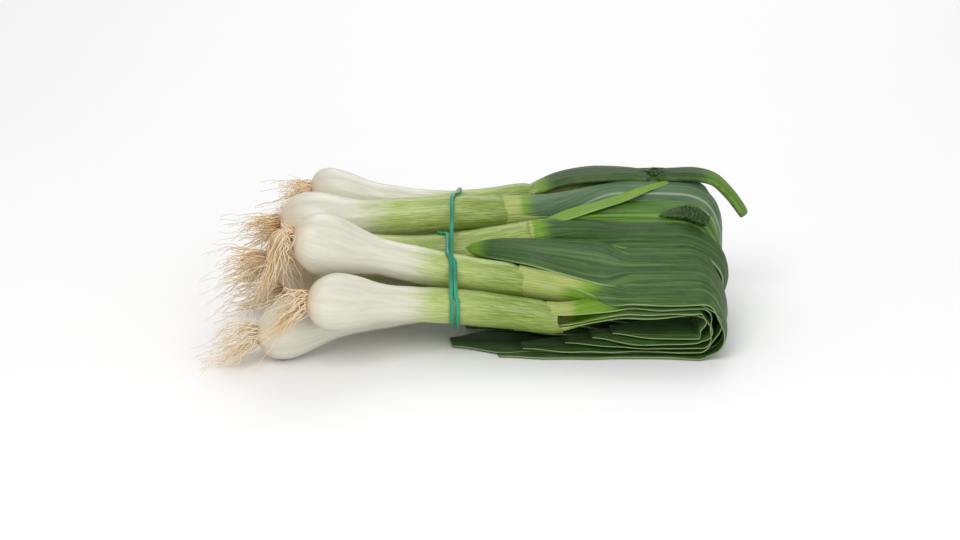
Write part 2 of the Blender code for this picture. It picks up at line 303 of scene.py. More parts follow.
class Nodes:
    """A material's node tree, written one node to a line."""

    def __init__(self, name):
        self.material = bpy.data.materials.new(name)
        self.material.use_nodes = True
        self.tree = self.material.node_tree
        self.shader = self.tree.nodes["Principled BSDF"]

    def put(self, kind, inputs=None, output=0, **settings):
        node = self.tree.nodes.new(kind)
        for key, value in settings.items():
            setattr(node, key, value)
        for key, value in (inputs or {}).items():
            self.feed(node.inputs[key], value)
        return node.outputs[output]

    def feed(self, socket, value):
        if isinstance(value, bpy.types.NodeSocket):
            self.tree.links.new(value, socket)
        else:
            socket.default_value = value

    def mark(self, name):
        """A point attribute."""
        return self.put("ShaderNodeAttribute", output="Vector", attribute_name=name)

    def part(self, vector, axis):
        return self.put("ShaderNodeSeparateXYZ", {0: vector}, output=axis)

    def maths(self, operation, a, b=0.0, c=0.0):
        return self.put("ShaderNodeMath", {0: a, 1: b, 2: c}, operation=operation)

    def stretch(self, vector, scale):
        return self.put("ShaderNodeVectorMath", {0: vector, 1: scale}, operation="MULTIPLY")

    def noise(self, vector, scale, detail=3.0, roughness=0.5):
        inputs = {"Vector": vector, "Scale": scale, "Detail": detail, "Roughness": roughness}
        return self.put("ShaderNodeTexNoise", inputs)

    def span(self, value, low, high, to_low=0.0, to_high=1.0):
        """value from low to high, eased to run from to_low to to_high."""
        inputs = {0: value, 1: low, 2: high, 3: to_low, 4: to_high}
        return self.put("ShaderNodeMapRange", inputs, interpolation_type="SMOOTHSTEP")

    def mix(self, share, a, b):
        inputs = {MIX_FACTOR: share, MIX_A: a, MIX_B: b}
        return self.put("ShaderNodeMix", inputs, MIX_RESULT, data_type="RGBA")

    def finish(self, colour, roughness, height=None, strength=0.3, distance=0.0003, **fixed):
        """Feed the shader; fixed holds plain values for its other sockets."""
        self.feed(self.shader.inputs["Base Color"], colour)
        self.feed(self.shader.inputs["Roughness"], roughness)
        if height is not None:
            inputs = {"Strength": strength, "Distance": distance, "Height": height}
            self.feed(self.shader.inputs["Normal"], self.put("ShaderNodeBump", inputs))
        for key, value in fixed.items():
            self.shader.inputs[key.replace("_", " ")].default_value = value
        return self.material


def rgb(red, green, blue):
    """Display colour from 0 to 255, made linear."""
    parts = (part / 255 for part in (red, green, blue))
    return (*(p / 12.92 if p <= 0.04045 else ((p + 0.055) / 1.055) ** 2.4 for p in parts), 1)


def shank_finish():
    """Cream white bulb skin that turns green along the shank, with fine long veins.

    The mark "skin" is (cos, sin, along), all round the axis, along in radii. The mark
    "grow" is (0 at the bulb to 1 at the band, where it greens, warmth)."""
    n = Nodes("spring onion skin")
    around, grow = n.mark("skin"), n.mark("grow")
    along, greens, warm = n.part(grow, 0), n.part(grow, 1), n.part(grow, 2)
    fine = n.noise(n.stretch(around, (1, 1, 0.05)), 22.0, 4.0, 0.6)
    broad = n.noise(n.stretch(around, (1, 1, 0.10)), 7.0, 2.0)
    cloud = n.noise(n.stretch(around, (1, 1, 0.12)), 4.5, 3.0)
    ragged = n.maths("MULTIPLY", n.maths("SUBTRACT", broad, 0.5), 0.45)
    edge = n.maths("ADD", ragged, n.maths("SUBTRACT", along, greens))
    green = n.span(edge, -0.06, 0.30)
    deep = n.span(edge, 0.25, 0.95)
    white = n.mix(n.span(cloud, 0.35, 0.7), rgb(221, 218, 204), rgb(208, 207, 188))
    white = n.mix(n.span(fine, 0.45, 0.70, 0.0, 0.35), white, rgb(200, 198, 172))
    white = n.mix(n.span(along, -0.15, -0.25), white, rgb(204, 172, 128))
    # warm browns the skin at its base, on the yellowed bulb, and along the front bulb's dry line,
    # which is partly painted contact shade
    white = n.mix(warm, white, rgb(206, 168, 124))
    white = n.mix(n.span(warm, 0.6, 1.0), white, rgb(156, 112, 70))
    pale = n.mix(deep, rgb(190, 200, 128), rgb(150, 168, 76))
    vein = n.mix(deep, rgb(152, 172, 88), rgb(106, 134, 44))
    veined = n.mix(n.span(fine, 0.42, 0.62), vein, pale)
    veined = n.mix(n.span(broad, 0.55, 0.72, 0.0, 0.4), veined, rgb(200, 206, 146))
    colour = n.mix(green, white, veined)
    rough = n.span(fine, 0.3, 0.7, 0.30, 0.42)
    return n.finish(colour, rough, fine, 0.25, 0.0004, Subsurface_Weight=0.18,
                    Subsurface_Radius=(0.004, 0.003, 0.0015), Coat_Weight=0.12, Coat_Roughness=0.25)


def leaf_finish(name, shade, dark, mid, ridge, young, base, rim=0.65):
    """A leaf with parallel veins, pale ridges and a waxy bloom.

    The mark "blade" is (across from -1 to 1, along in centimetres, seed). The mark
    "age" is (across in millimetres, pale to green, young to dark). rim is how much
    paler the edges are."""
    n = Nodes(name)
    blade, age = n.mark("blade"), n.mark("age")
    across, seed = n.part(blade, 0), n.part(blade, 2)
    millimetres, pale, old = n.part(age, 0), n.part(age, 1), n.part(age, 2)
    drawn_out = n.maths("MULTIPLY", n.part(blade, 1), 0.12)
    lines = n.put("ShaderNodeCombineXYZ", {0: millimetres, 1: drawn_out, 2: seed})
    fine = n.noise(lines, 3.6, 4.0, 0.65)
    broad = n.noise(lines, 0.55, 2.0)
    cloud = n.noise(n.stretch(blade, (0.8, 0.5, 1)), 1.6, 3.0)
    colour = n.mix(n.span(fine, 0.38, 0.66), dark, mid)
    colour = n.mix(n.span(broad, 0.50, 0.72, 0.0, 0.75), colour, ridge)
    bloom = n.span(cloud, 0.45, 0.75, 0.0, 0.22)
    colour = n.mix(bloom, colour, rgb(120, 142, 112))
    green = n.mix(n.span(fine, 0.35, 0.65), young, rgb(128, 168, 46))
    ragged = n.maths("MULTIPLY", n.maths("SUBTRACT", broad, 0.5), 0.9)
    pale = n.span(n.maths("ADD", pale, ragged), 0.2, 0.8)
    old = n.span(n.maths("ADD", old, ragged), 0.0, 1.0)
    tone = n.put("ShaderNodeTexWhiteNoise", {"W": seed}, noise_dimensions="1D")
    colour = n.mix(n.span(tone, 0.0, 1.0, 0.0, 0.45), colour, shade)
    colour = n.mix(old, green, colour)
    sheath = n.mix(n.span(fine, 0.4, 0.6), base, rgb(176, 186, 112))
    colour = n.mix(pale, sheath, colour)
    # pale rim on both edges: the leaves' own paler margin, with a painted highlight along the folded
    # edges
    edge = n.span(n.maths("ABSOLUTE", across), 0.935, 0.98, 0.0, rim)
    colour = n.mix(edge, colour, rgb(160, 184, 126))
    rough = n.span(cloud, 0.4, 0.7, 0.38, 0.55)
    height = n.maths("ADD", fine, n.maths("MULTIPLY", broad, 0.8))
    return n.finish(colour, rough, height, 0.7, 0.0008, Specular_IOR_Level=0.30)


def root_finish():
    """Dry root fibres: tan at the plate, then golden cream, then grey at the ends."""
    n = Nodes("root fibre")
    strand = n.mark("strand")
    along, tint = n.part(strand, 0), n.part(strand, 1)
    place = n.put("ShaderNodeTexCoord", output="Object")
    fleck = n.noise(place, 900.0, 2.0)
    colour = n.mix(n.span(along, 0.0, 0.3), rgb(204, 152, 98), rgb(246, 218, 174))
    colour = n.mix(n.span(tint, 0.35, 0.65), colour, rgb(252, 238, 210))
    colour = n.mix(n.span(along, 0.7, 1.0, 0.0, 0.5), colour, rgb(206, 192, 172))
    colour = n.mix(n.span(fleck, 0.6, 0.8, 0.0, 0.4), colour, rgb(150, 96, 52))
    return n.finish(colour, n.span(fleck, 0.3, 0.7, 0.6, 0.8), fleck, 0.3, 0.0002)


def band_finish():
    """Stretched teal rubber with a little dust on it."""
    n = Nodes("elastic rubber")
    place = n.put("ShaderNodeTexCoord", output="Object")
    dust = n.noise(place, 700.0, 3.0)
    broad = n.noise(place, 90.0, 2.0)
    colour = n.mix(n.span(broad, 0.35, 0.65), rgb(8, 118, 88), rgb(24, 146, 108))
    colour = n.mix(n.span(dust, 0.6, 0.8, 0.0, 0.4), colour, rgb(84, 170, 142))
    return n.finish(colour, n.span(dust, 0.3, 0.7, 0.32, 0.5), dust, 0.2, 0.0002, Coat_Weight=0.15)


# ------------------------------------------------------------------ bulbs and shanks

SHANK_SIDES = 56
BASE_RINGS = 14
SHANK_RINGS = 84
RIM_TAPER = 9.0  # length over which a shank narrows to its rim
RIM_SHARE = 0.84  # the rim's radius over the shank's
RIM_SLANT = 3.0  # how far the rim leans along the shank
SLANT_FROM_RING, SLANT_RINGS = 66, 30
RIM_DEPTH = 6.0
RIM_INSIDE = ((-0.4, 0.97), (0, 0.93), (RIM_DEPTH * 0.5, 0.88), (RIM_DEPTH, 0.6), (RIM_DEPTH, 0.2))
BASE_CAP = ((0.3, 0.8), (0.5, 0.4))  # rounds off the root plate: (out, share of the plate)
# (share of the radius, how many round the axis, shift in seeds)
BULB_LOBES = ((0.018, 2, 1), (0.012, 3, 2))
SHANK_RIBS = ((0.010, 13, 1), (0.006, 29, 0))
RIBS_LENGTH = 1.6  # the ribs grow over this many bulb radii
SKIN_WANDER = 0.15
BASE_WARMTH = 0.35
# the front bulb's dry brown line, partly painted contact shade where it rests on the bulb in front
DRY_LINED_AND_SHADED_BULB = 1
DRY_LINE_AND_SHADE_TURN = 4.06  # the dry brown line, partly painted contact shade where this bulb rests on the one in front, runs along the bulb here, below its front
DRY_LINE_AND_SHADE_START, DRY_LINE_AND_SHADE_END = -84, -6
YELLOWED_BULB = 5
YELLOWED_END, YELLOWED_SHARE = -70, 0.5
LEAST_GREEN = 0.78  # as far as the yellowed bulb's shank turns green


def dry_line_and_painted_shade(x, turn):
    """How brown the dry line on the front bulb is at x, round the bulb: partly dry skin, partly
    painted contact shade where it rests on the bulb in front.
    """
    dry_and_shaded = 0.8 + 0.5 * wave(x / 100, 5, 3.0)
    line = np.exp(-(((turn - DRY_LINE_AND_SHADE_TURN) / 0.09) ** 2))
    halo = 0.4 * np.exp(-(((turn - DRY_LINE_AND_SHADE_TURN - 0.04) / 0.3) ** 2))
    return dry_and_shaded * (line + halo) * smooth((x - DRY_LINE_AND_SHADE_START) / 8) * smooth((DRY_LINE_AND_SHADE_END - x) / 20)


def warmth(number, onion, x, turn):
    """How brown the skin is at x, round the bulb: warm at its base, and along the front bulb's dry
    line, which is partly painted contact shade.
    """
    warm = turn * 0 + BASE_WARMTH * smooth((onion.bulb[0] - x) / 9 - 0.3)
    # the dry brown line, partly painted contact shade
    if number == DRY_LINED_AND_SHADED_BULB:
        warm += dry_line_and_painted_shade(x, turn)
    if number == YELLOWED_BULB:
        warm += YELLOWED_SHARE * smooth((YELLOWED_END - x) / 10)
    return np.clip(warm, 0, 1)


def ripples(turn, seed, parts):
    return sum(height * np.cos(count * turn + shift * seed) for height, count, shift in parts)


def make_bulb(number, onion):
    """A bulb with its shank, up to the open rim that its leaves come out of."""
    start, end, widest = base_x(onion), onion.collar[0], onion.bulb[0]
    quarter = [1 - math.cos(math.pi / 2 * i / BASE_RINGS) for i in range(BASE_RINGS)]
    base = [start + (widest - start) * share for share in quarter]
    xs = np.array(base + list(np.linspace(widest, end, SHANK_RINGS)))
    seed = 100 + number
    turn = np.linspace(0, 2 * math.pi, SHANK_SIDES, endpoint=False)
    up, side = frame_across(slopes(onion)[1])
    rings, skins, grows = [], [], []
    for x in xs:
        centre, radius = axis_point(onion, x), bulb_radius(onion, x)
        ribbed = smooth((x - widest) / (RIBS_LENGTH * onion.bulb_radius))
        radius *= 1 - (1 - RIM_SHARE) * smooth((x - end + RIM_TAPER) / RIM_TAPER) ** 2
        uneven = ripples(turn, seed, BULB_LOBES) + ripples(turn, seed, SHANK_RIBS) * ribbed
        out = radius * (1 + uneven) + SKIN_WANDER * wave(x / 100 + turn * 0, seed, 2.0)
        rings.append(round_ring(centre, side, up, turn, out))
        skins.append(np.stack([np.cos(turn), np.sin(turn), turn * 0 + x / 10], 1))
        grown = (x - widest) / -widest
        if number == YELLOWED_BULB:
            grown = min(grown, LEAST_GREEN)
        warm = warmth(number, onion, x, turn)
        grows.append(np.stack([turn * 0 + grown, turn * 0 + onion.greens, warm], 1))
    rim = bulb_radius(onion, end) * RIM_SHARE
    for back, share in RIM_INSIDE:
        centre = axis_point(onion, end) - slopes(onion)[1] * back
        rings.append(round_ring(centre, side, up, turn, rim * share + turn * 0))
        skins.append(skins[-1])
        grows.append(grows[-1])
    lean = -np.sin(turn + 0.7 * math.sin(seed)) + 0.35 * np.sin(3 * turn + seed)
    for i, ring in enumerate(rings):
        slant = RIM_SLANT * smooth((i - SLANT_FROM_RING) / SLANT_RINGS)
        ring += np.outer(lean * slant, slopes(onion)[1])
    plate = onion.bulb_radius * ROOT_PLATE_SHARE
    first = axis_point(onion, start)
    away = -unit(slopes(onion)[0])
    for out, share in BASE_CAP:
        rings.insert(0, round_ring(first + away * out, side, up, turn, plate * share + turn * 0))
        skins.insert(0, skins[0])
        grows.insert(0, grows[0])
    marks = {"skin": np.array(skins), "grow": np.array(grows)}
    node = f"onion_{number}_bulb"
    skin(f"bulb_and_shank_{number}", np.array(rings), marks, SKIN, node)


def frame_across(along):
    """Up and side directions across something that runs this way."""
    side = unit(np.cross((0, 0, 1), along))
    return unit(np.cross(along, side)), side


def round_ring(centre, side, up, turn, radius):
    """Points round a centre at these turns and radii."""
    return centre + np.outer(np.cos(turn) * radius, side) + np.outer(np.sin(turn) * radius, up)


# ----------------------------------------------------------------------------- leaves

LEAF_SIDES = 36
RUN_RINGS = 44
FOLD_RINGS = 30
RETURN_RINGS = 18
FREE_RINGS = 90
BASE_THICKNESS = 1.6
BLADE_THICKNESS = 2.7
INSIDE_COLLAR = 6.0  # how far a leaf starts inside its shank's rim
CORE_ROLL, OUTER_ROLL = 0.62, 0.86  # a rolled base's radius over the collar's
SHORTEST_OPENING = 24.0
EDGE_POWER = 0.75  # lower makes the edges blunter
LONG_RIDGE, FINE_RIDGE = 0.20, 0.12  # ridge heights, for a leaf RIDGED_WIDTH wide
RIDGED_WIDTH = 20
WIDTH_WANDER = 0.05
SIDE_WANDER = 1.1
FOLD_BULGE = 1.8
LOWEST_LEAF = 0.05
FOLD_DRAW = 2.5  # how far short of its solid each fold stops
BACK_SQUARENESS = 0.49  # 0 is a round fold
SLIDE_FROM, SLIDE_LENGTH = 34, 58

# How a leaf is shaped and coloured. widen: its width over its solid's. shingle: one edge
# up, one down. pale_for, young_for: lengths of its pale and bright parts. plump: its
# thickness over the usual. ridges: along it. opens: x where it starts to unroll. wrap:
# degrees each way that its base goes round. crown: height of its middle. slide: how far
# it moves to the back. over: how far it lies over the others. turned: degrees round the
# shank of its base, if not as in its solid.
Style = namedtuple("Style", "finish widen shingle pale_for young_for plump ridges opens wrap "
                            "crown slide over turned")


def section(width, thickness, style, seed):
    """Points round a pressed leaf as (share across, across, up), with long ridges."""
    turn = np.linspace(0, 2 * math.pi, LEAF_SIDES, endpoint=False)
    at = np.cos(turn)
    round_off = np.sqrt(np.clip(1 - at**2, 0, 1)) ** EDGE_POWER
    up = thickness / 2 * round_off * np.sign(np.sin(turn)) * style.plump
    coarse = np.cos(style.ridges * math.pi * at + seed) * LONG_RIDGE
    fine = np.cos(2.7 * style.ridges * math.pi * at + 2 * seed) * FINE_RIDGE
    up = up + (coarse + fine) * (width / RIDGED_WIDTH) + style.shingle * at
    return at, width / 2 * at, up


def boxy(value, power):
    """A sine or cosine, made squarer by a power under 1."""
    return np.sign(value) * np.abs(value) ** power


def stack_points(leaf, across, up, angle, run, bulge):
    """Points of a leaf in the folded stack; the folds get squarer to the back."""
    y = leaf.y + across
    radius = (OUTER_FOLD_RADIUS - LAYER_PITCH * leaf.layer + up) * stack_scale(y)
    radius = radius + bulge * math.sin(angle)
    corner = 1 - BACK_SQUARENESS * smooth((y + 10) / 40)
    x = fold_x(y) - FOLD_DRAW * math.sin(angle)
    x = x + radius * boxy(math.sin(angle), corner) + (leaf.tail_x - fold_x(leaf.y)) * run
    z = STACK_HEIGHT / 2 * stack_scale(y) + radius * boxy(math.cos(angle), corner)
    return np.stack([x, y, np.maximum(z, LOWEST_LEAF)], 1)


def make_folded_leaf(leaf, name, node, base_ring, start_x, style, seed):
    """A leaf from its base to the fold and back under the stack.

    base_ring gives the leaf's points near its base, before it opens flat. A station is
    (share of the way to the fold, angle round it, share of the way back)."""
    turn_length = math.pi * (OUTER_FOLD_RADIUS - LAYER_PITCH * leaf.layer)
    tail_length = fold_x(leaf.y) - leaf.tail_x
    run_length = fold_x(leaf.y) - start_x
    opens = max(style.opens, start_x)
    stations = [(i / RUN_RINGS, 0, 0) for i in range(RUN_RINGS)]
    stations += [(1, math.pi * i / FOLD_RINGS, 0) for i in range(FOLD_RINGS + 1)]
    stations += [(1, math.pi, (i + 1) / RETURN_RINGS) for i in range(RETURN_RINGS)]
    rings, marks = [], []
    opened = max(SPREAD_X, opens + SHORTEST_OPENING)
    for share, angle, run in stations:
        x = start_x + run_length * share
        spread = smooth((x - opens) / (opened - opens))
        length = run_length * share + turn_length * angle / math.pi + tail_length * run
        from_tip = turn_length * (1 - angle / math.pi) + tail_length * (1 - run)
        width = leaf.base_width + (leaf.width * style.widen - leaf.base_width) * spread
        if share == 1:
            width *= TIP_SHARE + (1 - TIP_SHARE) * smooth(from_tip / TIP_LENGTH)
        width *= 1 + WIDTH_WANDER * wave(length / 100, seed, 1.3)
        thickness = BASE_THICKNESS + (BLADE_THICKNESS - BASE_THICKNESS) * spread
        at, across, up = section(width, thickness, style, seed)
        across = across + SIDE_WANDER * wave(length / 100, seed + 7, 0.9) * spread
        crown = style.crown * (1 - at**2) * (1 - 0.6 * angle / math.pi)
        lifted = up + crown + style.over * (1 - angle / math.pi)
        slide = style.slide * smooth((x - SLIDE_FROM) / SLIDE_LENGTH)
        bulge = FOLD_BULGE * math.sin(2.3 * seed + 2.6 * angle)
        far = stack_points(leaf, across + slide, lifted, angle, run, bulge)
        if share < 1:
            near = base_ring(x, at, up)
            far[:, 0] = x + (far[:, 0] - fold_x(leaf.y)) * share
            ring = near + (far - near) * spread
        else:
            ring = far
        rings.append(ring)
        marks.append(leaf_marks(at, across, length, seed, style))
    leaf_skin(name, rings, marks, style.finish, node)


def leaf_marks(at, across, length, seed, style, darkest=1.0):
    """One ring's marks for leaf_finish: its place on the blade, then its age."""
    blade = np.stack([at, at * 0 + length / 10, at * 0 + seed], 1)
    pale = smooth((length - style.pale_for * 0.5) / max(style.pale_for, 1))
    old = smooth((length - style.pale_for) / style.young_for) * darkest
    return blade, np.stack([across, at * 0 + pale, at * 0 + old], 1)


def leaf_skin(name, rings, marks, finish, node):
    blades, ages = (np.array(part) for part in zip(*marks))
    skin(name, np.array(rings), {"blade": blades, "age": ages}, finish, node)


def make_leaf(leaf, name, node, style, seed):
    """A leaf whose base is rolled inside the shank, like the sheath it grows from."""
    onion = ONIONS[leaf.onion]
    away = unit(slopes(onion)[1])
    up_way, side = frame_across(away)
    collar = np.array(onion.collar, float)
    core = math.hypot(leaf.across, leaf.lift) < 0.2
    roll = onion.neck_radius * COLLAR_SHARE * (CORE_ROLL if core else OUTER_ROLL)
    middle = math.atan2(leaf.across, leaf.lift)
    if style.turned is not None:
        middle = math.radians(style.turned)
    facing = 1 if math.cos(middle) > 0 else -1

    def base_ring(x, at, up):
        centre = collar + away * (x - collar[0]) / away[0]
        angle = middle + facing * at * math.radians(style.wrap)
        out = roll + facing * up
        return round_ring(centre, up_way, side, angle, out)  # the angle is from the top

    make_folded_leaf(leaf, name, node, base_ring, collar[0] - INSIDE_COLLAR, style, seed)


# The broad leaf's edges over the shanks: (x, front y, front z, back y, back z).
BROAD_EDGES = np.array((
    (5.5, -13.2, 45.6, -12.6, 46.6),
    (8.5, -15.5, 44.8, -11.5, 48.4),
    (16, -19.5, 44.2, -10.8, 50.0),
    (23, -23.5, 44.3, -10.5, 50.8),
    (38.5, -31, 44.0, -11, 50.9),
    (54, -36, 41.0, -11.4, 50.8),
    (72, -42, 37.8, -11.6, 50.2),
    (84, -45.5, 36.0, -12.6, 48.6),
    (104, -47.5, 34.9, -15.5, 46.0),
))
BROAD_ARCH = 0.10


def make_broad_leaf(leaf, name, node, style, seed):
    """The broad front leaf, which grows from the side of its shank as a narrow point."""

    def base_ring(x, at, up):
        edges = [np.interp(x, BROAD_EDGES[:, 0], column) for column in BROAD_EDGES[:, 1:].T]
        front, back = np.array((x, *edges[:2])), np.array((x, *edges[2:]))
        middle, over = (front + back) / 2, (back - front) / 2
        up_way = unit(np.cross((1, 0, 0), over))
        arch = BROAD_ARCH * np.linalg.norm(over) * (1 - at**2)
        return middle + np.outer(at, over) + np.outer(up + arch, up_way)

    make_folded_leaf(leaf, name, node, base_ring, BROAD_EDGES[0, 0], style, seed)


def catmull(points, share):
    """The point at share, 0 to 1, of a smooth path through points."""
    place = min(share * (len(points) - 1), len(points) - 1 - 1e-6)
    i, t = int(place), place - int(place)
    p = [points[min(max(i + k, 0), len(points) - 1)] for k in (-1, 0, 1, 2)]
    return hermite(p[1], p[2], (p[2] - p[0]) / 2, (p[3] - p[1]) / 2, t)


Crumple = namedtuple("Crumple", "x reach depth")
FADES_FROM, FADE_LENGTH = 126, 14  # where a fading leaf turns bright green


def make_free_leaf(path, name, node, style, seed, crumple=Crumple(0, 1, 0), fade=0.0):
    """A leaf that lies on the stack, maybe crumpled somewhere, or brighter at its end."""
    table = np.array([(x, y, stack_top(y) + lift, w, t) for x, y, lift, w, t in path])
    line = np.array([catmull(table, i / FREE_RINGS) for i in range(FREE_RINGS + 1)])
    rings, marks = [], []
    length = 0.0
    for i, (x, y, z, width, thickness) in enumerate(line):
        ahead, behind = line[min(i + 1, FREE_RINGS), :3], line[max(i - 1, 0), :3]
        up_way, side = frame_across(unit(ahead - behind))
        if i:
            length += np.linalg.norm(line[i, :3] - line[i - 1, :3])
        at, across, up = section(width * style.widen, thickness, style, seed)
        ring = np.array((x, y, z)) + np.outer(across, side) + np.outer(up, up_way)
        depth = math.exp(-(((x - crumple.x) / crumple.reach) ** 2)) * crumple.depth
        lifted = 4 * at * math.pi + 4 * wave(i / FREE_RINGS, seed, 3.3)
        pushed = 2 * at * math.pi + 4 * wave(i / FREE_RINGS, seed + 1, 2.3)
        ring += np.outer(np.cos(lifted) * depth, up_way)
        ring += np.outer(np.cos(pushed) * depth, side)
        rings.append(ring)
        darkest = 1 - fade * smooth((x - FADES_FROM) / FADE_LENGTH)
        marks.append(leaf_marks(at, across, length, seed, style, darkest))
    leaf_skin(name, rings, marks, style.finish, node)


# ------------------------------------------------------------------------------ roots

STRAND_RADIUS = 0.0004  # metres
STRAND_INPUTS = (("Strand radius", STRAND_RADIUS), ("Curl", 0.010), ("Curl scale", 60.0))
STRAND_POINTS = 16
TINT_SCALE = 60.0
TIP_THICKNESS = 0.3
FRONT_TUFT_STRANDS, TUFT_STRANDS, WISPS = 150, 90, 22
FRONT_TUFT_BACK_TIP = np.array((-80.0, -30.0, 40.0))  # part of it hangs over the next bulb
BACK_TIP_SHARE = 0.3
ROOT_SINK = 0.6  # how deep strands start inside the root plate
# Ranges, over the way to the tuft's tip or its length: how far strands grow, how far they
# spread, how they set off (away from the plate, outwards) and how they end.
CLUMP_GROWTH, WISP_GROWTH = (0.35, 1.15), (0.9, 1.7)
CLUMP_SPREAD, WISP_SPREAD = (0.15, 0.5), (0.15, 0.9)
START_AWAY, START_OUT = (0.7, 1.7), (0.2, 0.7)
END_ON, END_OUT = (0.3, 1.2), (-0.5, 0.4)
GUIDE_SPANS = 7
GUIDE_SHAKE = 0.9
LOWEST_GUIDE = 1.6
LOWEST_STRAND = 0.0002  # metres


def strand_nodes(finish):
    """Geometry nodes that turn guide curves into fine tapered wiry strands."""
    tree = bpy.data.node_groups.new("root strands", "GeometryNodeTree")
    face = tree.interface
    face.new_socket("Guides", in_out="INPUT", socket_type="NodeSocketGeometry")
    for label, value in STRAND_INPUTS:
        socket = face.new_socket(label, in_out="INPUT", socket_type="NodeSocketFloat")
        socket.default_value = value
    face.new_socket("Strands", in_out="OUTPUT", socket_type="NodeSocketGeometry")

    def put(kind, inputs=None, **settings):
        node = tree.nodes.new(kind)
        for key, value in settings.items():
            setattr(node, key, value)
        for key, value in (inputs or {}).items():
            if isinstance(value, bpy.types.NodeSocket):
                tree.links.new(value, node.inputs[key])
            else:
                node.inputs[key].default_value = value
        return node

    given = put("NodeGroupInput").outputs
    fine = put("GeometryNodeResampleCurve", {"Curve": given["Guides"], "Count": STRAND_POINTS})
    along = put("GeometryNodeSplineParameter").outputs["Factor"]
    place = put("GeometryNodeInputPosition").outputs[0]
    curl = put("ShaderNodeTexNoise", {"Vector": place, "Scale": given["Curl scale"], "Detail": 2.0})
    middle = {0: curl.outputs["Color"], 1: (0.5, 0.5, 0.5)}
    centred = put("ShaderNodeVectorMath", middle, operation="SUBTRACT")
    reach = put("ShaderNodeMath", {0: given["Curl"], 1: along}, operation="MULTIPLY")
    bend = {0: centred.outputs[0], "Scale": reach.outputs[0]}
    push = put("ShaderNodeVectorMath", bend, operation="SCALE")
    moved = put("GeometryNodeSetPosition", {"Geometry": fine.outputs[0], "Offset": push.outputs[0]})
    taper = put("ShaderNodeMapRange", {"Value": along, "To Min": 1.0, "To Max": TIP_THICKNESS})
    tapered = {0: taper.outputs[0], 1: given["Strand radius"]}
    thick = put("ShaderNodeMath", tapered, operation="MULTIPLY")
    tint = put("ShaderNodeTexNoise", {"Vector": place, "Scale": TINT_SCALE})
    mark = put("ShaderNodeCombineXYZ", {0: along, 1: tint.outputs[0]})
    stored = {"Geometry": moved.outputs[0], "Name": "strand", "Value": mark.outputs[0]}
    marked = put("GeometryNodeStoreNamedAttribute", stored, data_type="FLOAT_VECTOR", domain="POINT")
    ring = put("GeometryNodeCurvePrimitiveCircle", {"Resolution": 3, "Radius": 1.0})
    sweep = {"Curve": marked.outputs[0], "Profile Curve": ring.outputs[0], "Fill Caps": True}
    tube = put("GeometryNodeCurveToMesh", {**sweep, "Scale": thick.outputs[0]})
    whole = put("GeometryNodeRealizeInstances", {"Geometry": tube.outputs[0]})
    smoothed = put("GeometryNodeSetShadeSmooth", {"Geometry": whole.outputs[0]})
    painted = put("GeometryNodeSetMaterial", {"Geometry": smoothed.outputs[0], "Material": finish})
    put("NodeGroupOutput", {"Strands": painted.outputs[0]})
    return tree


def root_guides(onion, count, wisps, chance):
    """Guide points of one tuft's strands: a falling clump, and some loose wisps."""
    base, first_tip = axis_point(onion, base_x(onion)), np.array(onion.root_tip, float)
    away = -unit(slopes(onion)[0])
    up, side = frame_across(away)
    plate = onion.bulb_radius * ROOT_PLATE_SHARE
    reach = np.linalg.norm(first_tip - base)
    guides = []
    for i in range(count + wisps):
        wisp = i >= count
        tip = first_tip
        if onion is ONIONS[0] and chance.random() < BACK_TIP_SHARE:
            tip = FRONT_TUFT_BACK_TIP
        turn, out = chance.uniform(0, 2 * math.pi), math.sqrt(chance.random())
        radial = side * math.cos(turn) + up * math.sin(turn)
        start = base - away * ROOT_SINK + radial * plate * out
        grow = chance.uniform(*(WISP_GROWTH if wisp else CLUMP_GROWTH))
        outwards = radial * reach
        spread = chance.uniform(*(WISP_SPREAD if wisp else CLUMP_SPREAD))
        end = base + (tip - base) * grow + outwards * spread
        lean = away * reach * chance.uniform(*START_AWAY) + outwards * chance.uniform(*START_OUT)
        arrive = (tip - base) * chance.uniform(*END_ON) + outwards * chance.uniform(*END_OUT)
        shares = np.linspace(0, 1, GUIDE_SPANS + 1)
        points = np.array([hermite(start, end, lean, arrive, share) for share in shares])
        points[1:] += [[chance.gauss(0, GUIDE_SHAKE) for _ in range(3)] for _ in range(GUIDE_SPANS)]
        points[:, 2] = np.maximum(points[:, 2], LOWEST_GUIDE)
        guides.append(points)
    return guides


def make_roots(number, onion):
    """A root tuft: the node tree's strands on guide curves, made into a mesh."""
    chance = random.Random(40 + number)
    curve = bpy.data.curves.new("guides", "CURVE")
    curve.dimensions = "3D"
    count = FRONT_TUFT_STRANDS if number == 1 else TUFT_STRANDS
    for points in root_guides(onion, count, WISPS, chance):
        spline = curve.splines.new("NURBS")
        spline.points.add(len(points) - 1)
        spline.order_u = 4
        spline.use_endpoint_u = True
        placed = np.c_[(points + LAYOUT_TO_FRAME) * MM, np.ones(len(points))]
        spline.points.foreach_set("co", placed.ravel())
    guides = bpy.data.objects.new("guides", curve)
    bpy.context.scene.collection.objects.link(guides)
    growth = guides.modifiers.new("strands", "NODES")
    growth.node_group = STRANDS
    for item in STRANDS.interface.items_tree:
        if item.name == "Strand radius":
            growth[item.identifier] = STRAND_RADIUS
    bpy.context.view_layer.update()
    ready = guides.evaluated_get(bpy.context.evaluated_depsgraph_get())
    mesh = bpy.data.meshes.new_from_object(ready)
    mesh.name = f"root_tuft_{number}"
    for vertex in mesh.vertices:
        vertex.co.z = max(vertex.co.z, LOWEST_STRAND)
    bpy.data.objects.remove(guides)
    add_piece(mesh, FIBRE, f"onion_{number}_roots")


# ------------------------------------------------------------------------------- band

